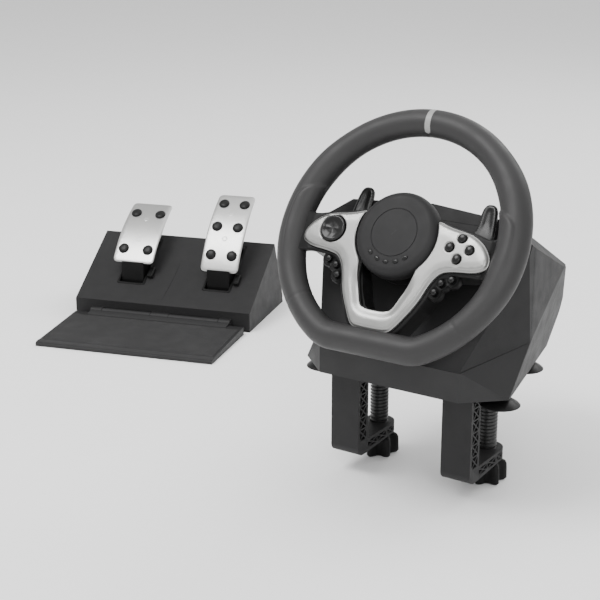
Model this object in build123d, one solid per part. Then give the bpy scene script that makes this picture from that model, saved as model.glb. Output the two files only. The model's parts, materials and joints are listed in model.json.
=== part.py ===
from build123d import *
import math
import os

# Racing wheel set: a desk-clamped steering unit and a two-pedal floor unit.
# Working frame: x to the driver's right, y away from the driver, z up; x = 0 is the steering
# unit's plane of symmetry, y = 0 the front of its clamp legs and z = 0 the bottom of those legs.
# Every piece is moved by FRAME_ORIGIN at the end, so that the set stands on z = 0, centred.

# ---- driving dimensions, millimetres and degrees ----
WHEEL_TILT = 31.9
WHEEL_CENTRE = (0.0, -6.8, 258.7)

RIM_RADIUS = 125.0
RIM_TUBE = 14.5
RIM_FLAT = 114.0
RIM_CORNER = 35.0
CORE_RADIUS = 5.0
CORE_GAP = 0.2
MARKER_WIDTH = 7.0
WING_SETBACK = 18.0
FOOT_SETBACK = 11.5

PLATE_BACK = 0.0
PLATE_FRONT = 4.0
TRIM_FRONT = 10.0
HOUSING_BACK = -24.0
HOUSING_WALL = 2.2
COVER_LIP = 3.0
HUB_RADIUS = 46.0
HUB_FACE_RADIUS = HUB_RADIUS - 9.5
HUB_HEIGHT = 10.0
HUB_WALL = 2.5
SPOKE_BACK = -13.0
SPOKE_FRONT = -9.0
BOARD_BACK = -6.0
BOARD_THICKNESS = 1.6

SHAFT_RADIUS = 12.0
SHAFT_BORE = 8.0
SHAFT_END = -150.0
FLANGE_RADIUS = 24.0
FLANGE_THICKNESS = 4.0

BUTTON_GAP = 0.3
ACTION_RADIUS = 4.4
ACTION_SPREAD = 11.0
ACTION_STAND = 2.4
DPAD_RADIUS = 14.0
DPAD_GAP = 0.8
DPAD_LIFT = 2.1
CONTROL_X = RIM_RADIUS - 51.5
CONTROL_Y = -4.8
POD_BUTTON_RADIUS = 3.6
POD_LOBE = 8.2
POD_FRONT = 3.0
POD_BACK = -5.0
POD_BUTTONS = ((71.5, -35.7), (61.3, -40.9), (56.5, -51.2))
HUB_BUTTON_RADIUS = 2.3
HUB_BUTTON_ARC = HUB_FACE_RADIUS - 5.1
HUB_BUTTON_STEP = 20.0

PADDLE_PIVOT = (34.0, -32.5)
PADDLE_BAND = (2.0, 18.0)
PADDLE_THICKNESS = 3.5
PIVOT_PIN = 1.5
RUNNING_GAP = 0.05

BODY_HALF_WIDTH = 122.0
FACE_OFFSET = -48.0
SKIRT_FRONT = -28.0
SKIRT_HALF = 83.0
BODY_BOTTOM = 102.0
SHELL_WALL = 2.6
SHELL_GAP = 0.2
TRAY_FLOOR = 3.0
COLLAR_RADIUS = 22.0
COLLAR_FRONT = -28.0
SPLIT_Y = 54.0

BEARING_RADIUS = 20.0
BEARING_WIDTH = 10.0
BEARING_PLACES = (-79.0, -139.0)
FRAME_HALF = 35.0
FRAME_WALL = 6.0
SENSOR_RADIUS = 14.0
DRUM_RADIUS = 28.0
DRUM_WIDTH = 18.0

CLAMP_X = 68.0
LEG_WIDTH = 34.5
LEG_DEPTH = 20.7
ARM_TOP = 15.8
ARM_RISE = 4.0
SCREW_Y = 74.5
SCREW_RADIUS = 10.5
SCREW_TOP = 93.7
SCREW_TIP = 5.0
PAD_RADIUS = 19.0
PAD_BOTTOM = 94.0
PAD_TOP = 99.0
KNOB_BOTTOM = -23.0
KNOB_TOP = 1.2
KNOB_CORE = 14.0
KNOB_LOBE = 5.5
KNOB_LOBE_CENTRE = 17.5
KNOB_LOBES = 6
CUP_RADIUS = 20.8
CUP_DROP = 12.0
CUPS = ((106.5, 21.0), (80.0, 135.0))
RIB = 1.6
LEG_CELLS = 6
ARM_CELLS = 4
POCKET_DEPTH = 13.0
POCKET_AT_SCREW = 5.0
POCKET_WALL = 2.6

PEDAL_PLACE = (-525.5, 163.5)
PEDAL_YAW = 16.5
FLOOR = KNOB_BOTTOM
PLATE_LENGTH = 129.5
PLATE_WIDTH = 260.0
PLATE_NOSE = 5.7
PLATE_REAR = 11.5
HINGE_Y = 136.0
HINGE_Z = 12.5
HINGE_BARREL = 5.0
HINGE_PIN = 2.0
HINGE_HALF = 108.0
BOX_FRONT = 141.0
BOX_REAR = 295.5
BOX_WIDTH = 270.0
BOX_NOSE = 28.0
BOX_TOP_Y = 259.0
BOX_TOP_Z = 100.0
BOX_FLOOR = 3.0
PEDAL_PIVOT_Y = 190.0
PEDAL_PIVOT_Z = 22.0
PEDAL_PIN = 4.0
PEDAL_BARREL = 9.0
ARM_WIDTH = 34.0
SLOT_GAP = 1.6
SLOT_REAR = 247.0
SPRING_GAP = 0.5
SPRING_WIDTH = 5.0
PAD_PLATE = 2.5
PAD_CURVE = 220.0
PAD_CORNER = 7.0
STUD_RADIUS = 8.0
STUD_HEIGHT = 3.6
# each pedal: centre x, pad foot (y, z), pad head (y, z), pad width, stud rows along the pad
PEDALS = {
    "brake": (-60.5, (178.0, 82.0), (265.0, 150.0), 63.0, (-0.31, 0.29)),
    "accelerator": (73.0, (178.0, 79.0), (267.0, 172.0), 57.0, (-0.31, 0.04, 0.36)),
}

TILT = math.radians(WHEEL_TILT)
FORWARD = Vector(0, -math.cos(TILT), math.sin(TILT))
UPWARD = Vector(0, math.sin(TILT), math.cos(TILT))
WHEEL = Plane(origin=WHEEL_CENTRE, x_dir=(1, 0, 0), z_dir=FORWARD).location
PEDAL = Location((PEDAL_PLACE[0], PEDAL_PLACE[1], FLOOR), (0, 0, PEDAL_YAW))
REACH = 600.0


# ---- helpers ----
def disc(x, y, low, high, radius):
    return Pos(x, y, (low + high) / 2) * Cylinder(radius, high - low)


def block(x0, x1, y0, y1, z0, z1):
    return Pos((x0 + x1) / 2, (y0 + y1) / 2, (z0 + z1) / 2) * Box(x1 - x0, y1 - y0, z1 - z0)


def bar_x(x0, x1, y, z, radius):
    return Pos((x0 + x1) / 2, y, z) * Rot(0, 90, 0) * Cylinder(radius, x1 - x0)


def prism_yz(points, x0, x1):
    return extrude(Plane.YZ.offset(x0) * Polygon(*points, align=None), x1 - x0, dir=(1, 0, 0))


def slab(sketch, low, high):
    return extrude(Pos(0, 0, low) * sketch, high - low, dir=(0, 0, 1))


def flip(shape):
    return mirror(shape, about=Plane.YZ)


def both(shape):
    return shape + flip(shape)


def capsule(a, b, radius):
    length = math.dist(a, b)
    angle = math.degrees(math.atan2(b[1] - a[1], b[0] - a[0]))
    middle = Pos((a[0] + b[0]) / 2, (a[1] + b[1]) / 2)
    bar = middle * Rot(0, 0, angle) * Rectangle(length, 2 * radius)
    return bar + Pos(*a) * Circle(radius) + Pos(*b) * Circle(radius)


def facet(a, b, c, inside=(0, 90, 170)):
    """A cutting plane through three points, facing away from a point inside the body."""
    a, b, c = Vector(a), Vector(b), Vector(c)
    normal = (b - a).cross(c - a).normalized()
    if normal.dot(Vector(inside) - a) > 0:
        normal = -normal
    return a, normal


def mirrored(plane):
    point, normal = plane
    return Vector(-point.X, point.Y, point.Z), Vector(-normal.X, normal.Y, normal.Z)


def pairs(planes):
    return [p for plane in planes for p in (plane, mirrored(plane))]


def cut_back(solid, planes, inset=0.0):
    """Keeps what lies behind every plane, each moved inwards by the inset."""
    for point, normal in planes:
        cutter = Plane(origin=point - normal * inset, z_dir=normal)
        solid = split(solid, bisect_by=cutter, keep=Keep.BOTTOM)
    return solid


def raw_block():
    return block(-REACH / 2, REACH / 2, -REACH / 2, REACH / 2, 0, REACH)


# ---- steering wheel, in its own plane: x right, y up, z towards the driver ----
def rim_tube(radius):
    reach = RIM_RADIUS - RIM_CORNER
    drop = RIM_FLAT - RIM_CORNER
    half = math.sqrt(reach ** 2 - drop ** 2)
    join = (half * RIM_RADIUS / reach, -drop * RIM_RADIUS / reach)
    turn = (-math.pi / 2 + math.atan2(-drop, half)) / 2
    middle = (half + RIM_CORNER * math.cos(turn), -drop + RIM_CORNER * math.sin(turn))
    path = Wire([
        Line((-half, -RIM_FLAT), (half, -RIM_FLAT)),
        ThreePointArc((half, -RIM_FLAT), middle, join),
        ThreePointArc(join, (0, RIM_RADIUS), (-join[0], join[1])),
        ThreePointArc((-join[0], join[1]), (-middle[0], middle[1]), (-half, -RIM_FLAT)),
    ])
    section = Plane(origin=(-half, -RIM_FLAT, 0), z_dir=(1, 0, 0)) * Circle(radius)
    return sweep(section, path=path)


def spoke_ends(gap):
    side = block(RIM_RADIUS - 21 - gap, RIM_RADIUS, -14 - gap, -2 + gap, SPOKE_BACK - gap, gap)
    foot = block(12 - gap, 24 + gap, -RIM_FLAT, -92 + gap, SPOKE_BACK - gap, gap)
    return both(side + foot)


def make_rim():
    tube = rim_tube(RIM_TUBE) - rim_tube(CORE_RADIUS + CORE_GAP) - spoke_ends(CORE_GAP)
    notch = marker_ring(MARKER_WIDTH + 0.1, RIM_TUBE - 1.5, RIM_TUBE + 1)
    return tube - notch


def marker_ring(width, inner, outer):
    """A short collar round the top of the rim tube."""
    ring = Pos(0, RIM_RADIUS, 0) * Rot(0, 90, 0) * (Cylinder(outer, width) - Cylinder(inner, width))
    return ring


def make_marker():
    band = marker_ring(MARKER_WIDTH, RIM_TUBE - 1.45, RIM_TUBE + 1)
    return band & rim_tube(RIM_TUBE + 0.15)


def make_rim_frame():
    hub = disc(0, 0, SPOKE_BACK, SPOKE_FRONT, FLANGE_RADIUS + 4)
    cross = block(-RIM_RADIUS + 4, RIM_RADIUS - 4, -14, -2, SPOKE_BACK, SPOKE_FRONT)
    leg = Polygon((20, -14), (36, -5), (46, -30), (48, -38), (41, -62), (24, -92),
                  (24, -RIM_FLAT), (12, -RIM_FLAT), (12, -92), (31, -62), (36, -48),
                  (40, -38), (37, -28), align=None)
    legs = both(slab(leg, SPOKE_BACK, SPOKE_FRONT))
    ends = spoke_ends(0) & (rim_tube(CORE_RADIUS + 9) + block(-200, 200, -200, 200, -14, -8))
    return rim_tube(CORE_RADIUS) + hub + cross + legs + ends


def wing_outline():
    tip = RIM_RADIUS - WING_SETBACK
    foot = FOOT_SETBACK - RIM_FLAT
    right = [(40, 21.5), (58, 15), (tip - 22, 11), (tip - 10, 3), (tip - 1, -8), (tip, -19.5),
             (tip - 11, -25.5), (73, -28.5), (59, -32), (52, -41), (43, -68),
             (24, foot + 3.5), (18.7, foot)]
    left = [(-x, y) for x, y in reversed(right)]
    return Polygon(*(right + left), align=None)


def window_outline():
    right = [(37, -35), (30, -48), (25, -63), (17, -78), (12, -81)]
    left = [(-x, y) for x, y in reversed(right)]
    return Polygon(*(right + left + [(0, -20)]), align=None)


def cover_outline(grow):
    wings = offset(wing_outline(), grow)
    shoulders = Pos(0, -8) * Rectangle(2 * RIM_RADIUS - 14, 30 + 2 * (grow - COVER_LIP))
    hub = Circle(HUB_RADIUS + 0.5 + grow - COVER_LIP)
    window = offset(window_outline(), -1.5 + COVER_LIP - grow) - Circle(HUB_RADIUS - 2)
    return wings + shoulders + hub - window


def action_places():
    return {
        "action_button_up": (CONTROL_X, CONTROL_Y + ACTION_SPREAD),
        "action_button_right": (CONTROL_X + ACTION_SPREAD, CONTROL_Y),
        "action_button_down": (CONTROL_X, CONTROL_Y - ACTION_SPREAD),
        "action_button_left": (CONTROL_X - ACTION_SPREAD, CONTROL_Y),
    }


def hub_places():
    places = {}
    for i in range(5):
        angle = math.radians(-90 + (i - 2) * HUB_BUTTON_STEP)
        places[f"hub_button_{i + 1}"] = (HUB_BUTTON_ARC * math.cos(angle),
                                         HUB_BUTTON_ARC * math.sin(angle))
    return places


def pod_places():
    places = {}
    for i, (x, y) in enumerate(POD_BUTTONS):
        places[f"pod_button_left_{i + 1}"] = (-x, y)
        places[f"pod_button_right_{i + 1}"] = (x, y)
    return places


def action_holes(low, high):
    holes = [disc(x, y, low, high, ACTION_RADIUS + BUTTON_GAP) for x, y in action_places().values()]
    return sum(holes[1:], holes[0])


def make_front_cover():
    plate = slab(cover_outline(COVER_LIP), PLATE_BACK, PLATE_FRONT)
    plate -= action_holes(PLATE_BACK - 1, PLATE_FRONT + 1)
    plate -= disc(-CONTROL_X, CONTROL_Y, PLATE_BACK - 1, PLATE_FRONT + 1, 5.5)
    plate -= rim_tube(RIM_TUBE + BUTTON_GAP)
    return max(plate.solids(), key=lambda s: s.volume)


def paddle_lugs():
    x, z = PADDLE_PIVOT
    low, high = PADDLE_BAND
    lugs = block(x - 4.5, x + 4.5, low - 4, low - 0.3, z - 4, HOUSING_BACK)
    lugs += block(x - 4.5, x + 4.5, high + 0.3, high + 4, z - 4, HOUSING_BACK)
    bore = Pos(x, (low + high) / 2, z) * Rot(90, 0, 0) * Cylinder(PIVOT_PIN, high - low + 10)
    return lugs - bore


def make_rear_cover():
    outer = slab(cover_outline(COVER_LIP), HOUSING_BACK, PLATE_BACK)
    inner = slab(cover_outline(COVER_LIP - HOUSING_WALL), HOUSING_BACK + HOUSING_WALL, PLATE_BACK)
    shell = outer - inner - disc(0, 0, HOUSING_BACK - 1, PLATE_BACK, SHAFT_RADIUS + 1)
    shell -= spoke_ends(CORE_GAP)
    shell -= rim_tube(RIM_TUBE + BUTTON_GAP)
    shell = max(shell.solids(), key=lambda s: s.volume)
    return shell + both(paddle_lugs())


def make_trim():
    plate = wing_outline() - window_outline() - Circle(HUB_RADIUS + BUTTON_GAP)
    trim = slab(plate, PLATE_FRONT, TRIM_FRONT)
    trim -= action_holes(PLATE_FRONT - 1, TRIM_FRONT + 1)
    trim -= disc(-CONTROL_X, CONTROL_Y, PLATE_FRONT - 1, TRIM_FRONT + 1, DPAD_RADIUS + DPAD_GAP)
    trim -= rim_tube(RIM_TUBE + BUTTON_GAP)
    return max(trim.solids(), key=lambda s: s.volume)


def make_hub_cap():
    base, face = HUB_RADIUS, HUB_FACE_RADIUS
    low, high = PLATE_FRONT, PLATE_FRONT + HUB_HEIGHT
    wall = HUB_WALL
    outer = [(base, low), (base, low + 1.5), (base - 2, high - 4), (base - 5, high - 1),
             (face, high), (0, high)]
    inner = [(0, high - wall), (face - 1, high - wall), (base - 6.5, high - wall - 1),
             (base - wall - 1.5, high - wall - 3.5), (base - wall, low)]
    cap = revolve(Plane.XZ * Polygon(*(outer + inner), align=None), axis=Axis.Z)
    for x, y in hub_places().values():
        cap -= disc(x, y, high - wall - 1, high + 1, HUB_BUTTON_RADIUS + BUTTON_GAP)
    return cap


def make_pods():
    first, second, third = POD_BUTTONS
    outline = capsule(first, second, POD_LOBE) + capsule(second, third, POD_LOBE)
    pod = slab(outline - cover_outline(COVER_LIP), POD_BACK, POD_FRONT)
    pod = max(pod.solids(), key=lambda s: s.volume)
    for x, y in POD_BUTTONS:
        pod -= disc(x, y, POD_BACK + 0.8, POD_FRONT + 1, POD_BUTTON_RADIUS + BUTTON_GAP)
    return both(pod)


def make_board():
    outline = offset(wing_outline(), -1.5) - offset(window_outline(), 5)
    board = slab(outline, BOARD_BACK, BOARD_BACK + BOARD_THICKNESS)
    board -= rim_tube(RIM_TUBE + BUTTON_GAP)
    return max(board.solids(), key=lambda s: s.volume)


def make_motors():
    motor = disc(78, -8, HOUSING_BACK + HOUSING_WALL, SPOKE_BACK - 2, 9)
    return both(motor)


def make_shaft():
    flange = disc(0, 0, SPOKE_BACK - FLANGE_THICKNESS, SPOKE_BACK, FLANGE_RADIUS)
    tube = disc(0, 0, SHAFT_END, SPOKE_BACK - 1, SHAFT_RADIUS)
    return flange + tube - disc(0, 0, SHAFT_END - 1, SPOKE_BACK + 1, SHAFT_BORE)


def button(x, y, low, high, radius, flange_top):
    """A cap on a wider flange that holds it under its cover."""
    cap = disc(x, y, low, high, radius)
    cap = chamfer(cap.edges().group_by(Axis.Z)[-1], radius * 0.25)
    return cap + disc(x, y, flange_top - 1.4, flange_top, radius + 1.2)


def make_buttons():
    made = {}
    for name, (x, y) in action_places().items():
        made[name] = button(x, y, -2.4, TRIM_FRONT + ACTION_STAND, ACTION_RADIUS,
                            PLATE_BACK - BUTTON_GAP)
    for name, (x, y) in pod_places().items():
        cap = disc(x, y, POD_BACK + 2.4, POD_FRONT + 3.2, POD_BUTTON_RADIUS)
        made[name] = chamfer(cap.edges().group_by(Axis.Z)[-1], 0.9)
    face = PLATE_FRONT + HUB_HEIGHT
    for name, (x, y) in hub_places().items():
        made[name] = button(x, y, face - HUB_WALL - 3.5, face + 1.4, HUB_BUTTON_RADIUS,
                            face - HUB_WALL - BUTTON_GAP)
    return made


def make_dpad():
    disc_low = PLATE_FRONT + DPAD_LIFT
    pad = disc(-CONTROL_X, CONTROL_Y, disc_low, TRIM_FRONT + 2.2, DPAD_RADIUS)
    pad = chamfer(pad.edges().group_by(Axis.Z)[-1], 1.5)
    return pad - disc(-CONTROL_X, CONTROL_Y, disc_low - 1, TRIM_FRONT - 0.8, 4.5)


def make_dpad_pivot():
    return disc(-CONTROL_X, CONTROL_Y, -3, TRIM_FRONT - 1.5, 3.5)


def make_paddle():
    """The right-hand paddle: barrel and trunnions, arm and upright blade."""
    x, z = PADDLE_PIVOT
    low, high = PADDLE_BAND
    middle = (low + high) / 2
    barrel = Pos(x, middle, z) * Rot(90, 0, 0) * Cylinder(3.6, high - low)
    pin = Pos(x, middle, z) * Rot(90, 0, 0) * Cylinder(PIVOT_PIN - RUNNING_GAP, high - low + 7.4)
    outline = Polygon((x, low), (66, low), (80, 12), (84, 24), (80, 52), (76, 57), (68, 57),
                      (64, 51), (64, 30), (58, high), (x, high), align=None)
    return slab(outline, z - 3.6 - 0.9, z - 4.5 + PADDLE_THICKNESS) + barrel + pin


# ---- steering base ----
SIDE = (Vector(BODY_HALF_WIDTH, 0, 0), Vector(1, 0, 0))
BOTTOM = (Vector(0, 0, BODY_BOTTOM), Vector(0, 0, -1))
ROOF = facet((0, 60, 281), (96, 60, 272), (0, 190, 208))
ROOF_SIDE = facet((96, 60, 272), (BODY_HALF_WIDTH, 60, 249), (96, 110, 244.5))
FACE = (Vector(WHEEL_CENTRE) + FORWARD * FACE_OFFSET, FORWARD)
FACE_SIDE = facet((SKIRT_HALF, SKIRT_FRONT, 135), (BODY_HALF_WIDTH, 53, 151),
                  (BODY_HALF_WIDTH, 41, 250))
REAR_PLANES = pairs([
    SIDE, ROOF, ROOF_SIDE,
    facet((BODY_HALF_WIDTH, 60, 150), (110, 165, 168), (110, 165, 200)),
    facet((110, 165, 168), (88, 213, 168), (88, 213, 200)),
    facet((88, 213, 160), (0, 228, 160), (88, 213, 200)),
    facet((BODY_HALF_WIDTH, 8, 102), (BODY_HALF_WIDTH, SPLIT_Y, 150), (88, 213, 152)),
    facet((0, 205, 203), (88, 192, 203), (88, 214, 158)),
]) + [FACE, facet((0, 228, 152), (50, 228, 152), (0, 185, 102))]
FRONT_PLANES = [FACE] + pairs([FACE_SIDE, SIDE, ROOF, ROOF_SIDE])
SKIRT_PLANES = [(Vector(0, SKIRT_FRONT, 0), Vector(0, -1, 0))] + pairs([
    SIDE,
    facet((SKIRT_HALF, SKIRT_FRONT, 102), (BODY_HALF_WIDTH, 8, 102), (SKIRT_HALF, SKIRT_FRONT, 135)),
    facet((SKIRT_HALF, SKIRT_FRONT, 135), (BODY_HALF_WIDTH, 53, 151), (BODY_HALF_WIDTH, 8, 103)),
])
SEAM = facet((0, SKIRT_FRONT, 134), (50, SKIRT_FRONT, 134), (0, 53, 151), inside=(0, 0, 0))
HEEL = facet((0, 8, 102), (50, 8, 102), (0, SPLIT_Y, 150), inside=(0, 0, 200))


def reverse(plane):
    return plane[0], -plane[1]


def socket_panel_box(gap):
    return block(-42 - gap, 42 + gap, 214, 230.5, 156 - gap, 182 + gap)


def front_solid(inset):
    solid = cut_back(raw_block(), FRONT_PLANES, inset)
    solid = cut_back(solid, [reverse(SEAM)], SHELL_GAP / 2)
    return cut_back(solid, [(Vector(0, SPLIT_Y, 0), Vector(0, 1, 0))], SHELL_GAP / 2)


def rear_solid(inset):
    solid = cut_back(raw_block(), REAR_PLANES, inset)
    solid = cut_back(solid, [BOTTOM])
    upper = cut_back(solid, [(Vector(0, SPLIT_Y, 0), Vector(0, -1, 0))], SHELL_GAP / 2)
    lower = cut_back(solid, [(Vector(0, 0, 150), Vector(0, 0, 1))])
    lower = cut_back(lower, [reverse(HEEL)], SHELL_GAP / 2)
    return upper + lower


def skirt_solid(inset):
    solid = cut_back(raw_block(), SKIRT_PLANES, inset)
    solid = cut_back(solid, [BOTTOM, HEEL], SHELL_GAP / 2)
    return cut_back(solid, [SEAM], SHELL_GAP / 2)


def make_front_shell():
    shell = front_solid(0) - front_solid(SHELL_WALL)
    shell += disc(0, 0, FACE_OFFSET - SHELL_WALL, COLLAR_FRONT, COLLAR_RADIUS).moved(WHEEL)
    return shell - disc(0, 0, FACE_OFFSET - 20, COLLAR_FRONT + 1, SHAFT_RADIUS + 1).moved(WHEEL)


def make_rear_shell():
    shell = rear_solid(0) - rear_solid(SHELL_WALL)
    return shell - socket_panel_box(SHELL_GAP)


def screw_places():
    return [(-70, 150), (70, 150), (-40, 10), (40, 10)]


def board_posts():
    return [(-25, 137), (25, 137), (-25, 171), (25, 171)]


def make_base_tray():
    skirt = skirt_solid(0) - skirt_solid(SHELL_WALL)
    floor = cut_back(skirt_solid(0), [(Vector(0, 0, BODY_BOTTOM + TRAY_FLOOR), Vector(0, 0, 1))])
    back = cut_back(raw_block(), REAR_PLANES, SHELL_WALL + SHELL_GAP)
    back &= block(-200, 200, 8.5, 300, BODY_BOTTOM, BODY_BOTTOM + TRAY_FLOOR)
    tray = skirt + floor + back
    for x, y in screw_places():
        tray -= disc(x, y, BODY_BOTTOM - 1, BODY_BOTTOM + TRAY_FLOOR + 1, 1.5)
    for x, y in board_posts():
        tray += disc(x, y, BODY_BOTTOM + TRAY_FLOOR - 0.5, BODY_BOTTOM + 8, 3)
    return tray


def make_shell_screws():
    made = None
    for x, y in screw_places():
        screw = disc(x, y, BODY_BOTTOM - 1.4, BODY_BOTTOM, 3.4) + disc(x, y, BODY_BOTTOM, 114, 1.45)
        made = screw if made is None else made + screw
    return made


def axis_point(up, out):
    """A point of the steering axis plane as (y, z) in the working frame."""
    point = Vector(WHEEL_CENTRE) + UPWARD * up + FORWARD * out
    return point.Y, point.Z


def make_bearing_frame():
    half, wall = FRAME_HALF, FRAME_WALL
    frame = None
    for place in BEARING_PLACES:
        plate = block(-half, half, -30, 30, place, place + BEARING_WIDTH)
        plate -= disc(0, 0, place - 1, place + BEARING_WIDTH + 1, BEARING_RADIUS)
        frame = plate if frame is None else frame + plate
    frame += block(-half, half, -22, 22, SHAFT_END - 13, SHAFT_END - 9)
    frame = frame.moved(WHEEL)
    floor = BODY_BOTTOM + TRAY_FLOOR
    web = [axis_point(-30, BEARING_PLACES[0] + BEARING_WIDTH),
           axis_point(30, BEARING_PLACES[0] + BEARING_WIDTH),
           axis_point(30, BEARING_PLACES[1]), axis_point(22, SHAFT_END - 13),
           axis_point(-22, SHAFT_END - 13), (126, floor), (34, floor)]
    return frame + both(prism_yz(web, half - wall, half))


def make_bearings():
    rings = [disc(0, 0, place, place + BEARING_WIDTH, BEARING_RADIUS)
             - disc(0, 0, place - 1, place + BEARING_WIDTH + 1, SHAFT_RADIUS + RUNNING_GAP)
             for place in BEARING_PLACES]
    return rings[0] + rings[1]


def make_spring_drum():
    top = BEARING_PLACES[0]
    drum = disc(0, 0, top - DRUM_WIDTH, top, DRUM_RADIUS)
    return drum - disc(0, 0, top - DRUM_WIDTH - 1, top + 1, SHAFT_RADIUS + 0.5)


def make_sensor():
    return disc(0, 0, SHAFT_END - 9, SHAFT_END - 1, SENSOR_RADIUS)


def make_main_board():
    return block(-32, 32, 130, 178, BODY_BOTTOM + 8, BODY_BOTTOM + 9.6)


def make_socket_panel():
    panel = socket_panel_box(0)
    for x in (-26, 0):
        panel -= block(x - 6.5, x + 6.5, 221, 240, 164, 173)
    return panel - Pos(26, 225, 168.5) * Rot(90, 0, 0) * Cylinder(3.2, 30)


def make_suction_cups():
    low = BODY_BOTTOM - CUP_DROP
    outer = [(0, BODY_BOTTOM), (6, BODY_BOTTOM), (6, low + 8.5), (10, low + 7), (CUP_RADIUS, low + 1)]
    inner = [(CUP_RADIUS, low), (CUP_RADIUS - 1.5, low), (8, low + 4), (0, low + 4.6)]
    cup = revolve(Plane.XZ * Polygon(*(outer + inner), align=None), axis=Axis.Z)
    places = [Pos(x, y, 0) * cup for x, y in CUPS]
    return both(places[0] + places[1])


def cell_triangles(y0, y1, z0, z1):
    """The four openings that a diagonal cross leaves in one cell of the rib lattice."""
    cy, cz = (y0 + y1) / 2, (z0 + z1) / 2
    r = RIB * 0.7
    return [
        [(y0 + r, z0), (y1 - r, z0), (cy, cz - r)],
        [(y0 + r, z1), (y1 - r, z1), (cy, cz + r)],
        [(y0, z0 + r), (y0, z1 - r), (cy - r, cz)],
        [(y1, z0 + r), (y1, z1 - r), (cy + r, cz)],
    ]


def lattice(y0, y1, z0, z1, columns, rows, depth):
    """Pockets in the bracket's right side, between crossed ribs."""
    half = LEG_WIDTH / 2
    wide, high = (y1 - y0) / columns, (z1 - z0) / rows
    pockets = None
    for i in range(columns * rows):
        y, z = y0 + i % columns * wide, z0 + i // columns * high
        for points in cell_triangles(y + RIB / 2, y + wide - RIB / 2, z + RIB / 2, z + high - RIB / 2):
            pocket = prism_yz(points, half - depth, half + 1)
            pockets = pocket if pockets is None else pockets + pocket
    return pockets


def make_clamp_arm():
    """The right-hand clamp bracket, about its own x = 0."""
    half = LEG_WIDTH / 2
    end = SCREW_Y + half
    side = [(0, 0), (LEG_DEPTH, 0), (end, ARM_RISE), (end, ARM_TOP), (LEG_DEPTH, ARM_TOP),
            (LEG_DEPTH, BODY_BOTTOM), (0, BODY_BOTTOM)]
    arm = prism_yz(side, -half, half)
    nose = arm.edges().filter_by(Axis.X).sort_by(lambda e: e.center().Y + e.center().Z)[0]
    arm = fillet(nose, 10)
    plan = Pos(0, SCREW_Y / 2) * Rectangle(LEG_WIDTH, SCREW_Y) + Pos(0, SCREW_Y) * Circle(half)
    arm &= slab(plan, -1, BODY_BOTTOM + 1)
    arm -= both(lattice(3, LEG_DEPTH - 3, ARM_TOP + 1, BODY_BOTTOM - 3, 1, LEG_CELLS, POCKET_DEPTH))
    bore_side = SCREW_Y - SCREW_RADIUS - POCKET_WALL
    arm -= both(lattice(LEG_DEPTH, bore_side, ARM_RISE, ARM_TOP - POCKET_WALL, ARM_CELLS // 2, 1,
                        POCKET_DEPTH))
    arm -= both(lattice(bore_side + RIB, end - POCKET_WALL, ARM_RISE + 1, ARM_TOP - POCKET_WALL,
                        ARM_CELLS // 2, 1, POCKET_AT_SCREW))
    return arm - disc(0, SCREW_Y, -1, ARM_TOP + 1, SCREW_RADIUS + RUNNING_GAP)


def make_clamp_screw():
    shank = disc(0, SCREW_Y, KNOB_BOTTOM + 4, SCREW_TOP, SCREW_RADIUS)
    return shank + disc(0, SCREW_Y, SCREW_TOP, PAD_BOTTOM + 3, SCREW_TIP)


def make_clamp_knob():
    star = Circle(KNOB_CORE)
    for i in range(KNOB_LOBES):
        angle = 2 * math.pi * (i + 0.5) / KNOB_LOBES
        place = Pos(KNOB_LOBE_CENTRE * math.cos(angle), KNOB_LOBE_CENTRE * math.sin(angle))
        star += place * Circle(KNOB_LOBE)
    knob = slab(Pos(0, SCREW_Y) * star, KNOB_BOTTOM, KNOB_TOP)
    return knob - disc(0, SCREW_Y, KNOB_BOTTOM + 4, KNOB_TOP + 1, SCREW_RADIUS)


def make_clamp_pad():
    pad = disc(0, SCREW_Y, PAD_BOTTOM, PAD_TOP, PAD_RADIUS)
    return pad - disc(0, SCREW_Y, PAD_BOTTOM - 1, PAD_BOTTOM + 3.3, SCREW_TIP + RUNNING_GAP)


# ---- pedal unit, in its own frame: origin on the floor, middle of the heel plate's front ----
def hinge_segments():
    """Five knuckles: the heel plate has the second and fourth, the box has the others."""
    ends = [-HINGE_HALF, -90, -14, 14, 90, HINGE_HALF]
    return list(zip(ends[:-1], ends[1:]))


def make_heel_plate():
    side = [(0, 0), (0, PLATE_NOSE - 1.5), (1.5, PLATE_NOSE), (PLATE_LENGTH, PLATE_REAR),
            (PLATE_LENGTH, 0)]
    plate = prism_yz(side, -PLATE_WIDTH / 2, PLATE_WIDTH / 2)
    plate -= block(-PLATE_WIDTH / 2 + 4, PLATE_WIDTH / 2 - 4, 4, PLATE_LENGTH - 4, -1, 1.6)
    for x0, x1 in hinge_segments()[1::2]:
        x0, x1 = x0 + BUTTON_GAP, x1 - BUTTON_GAP
        plate += bar_x(x0, x1, HINGE_Y, HINGE_Z, HINGE_BARREL)
        plate += block(x0, x1, PLATE_LENGTH - 3, HINGE_Y, HINGE_Z - HINGE_BARREL, PLATE_REAR)
    return plate - bar_x(-HINGE_HALF, HINGE_HALF, HINGE_Y, HINGE_Z, HINGE_PIN + RUNNING_GAP)


def make_hinge_pin():
    return bar_x(-HINGE_HALF + 1, HINGE_HALF - 1, HINGE_Y, HINGE_Z, HINGE_PIN)


def pedal_box(inset):
    side = [(BOX_FRONT + inset, -1 if inset else BOX_FLOOR), (BOX_FRONT + inset, BOX_NOSE - inset),
            (BOX_TOP_Y - inset * 0.3, BOX_TOP_Z - inset * 1.2),
            (BOX_REAR - inset, BOX_FLOOR + 9), (BOX_REAR - inset, -1 if inset else BOX_FLOOR)]
    return prism_yz(side, -BOX_WIDTH / 2 + inset, BOX_WIDTH / 2 - inset)


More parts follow.
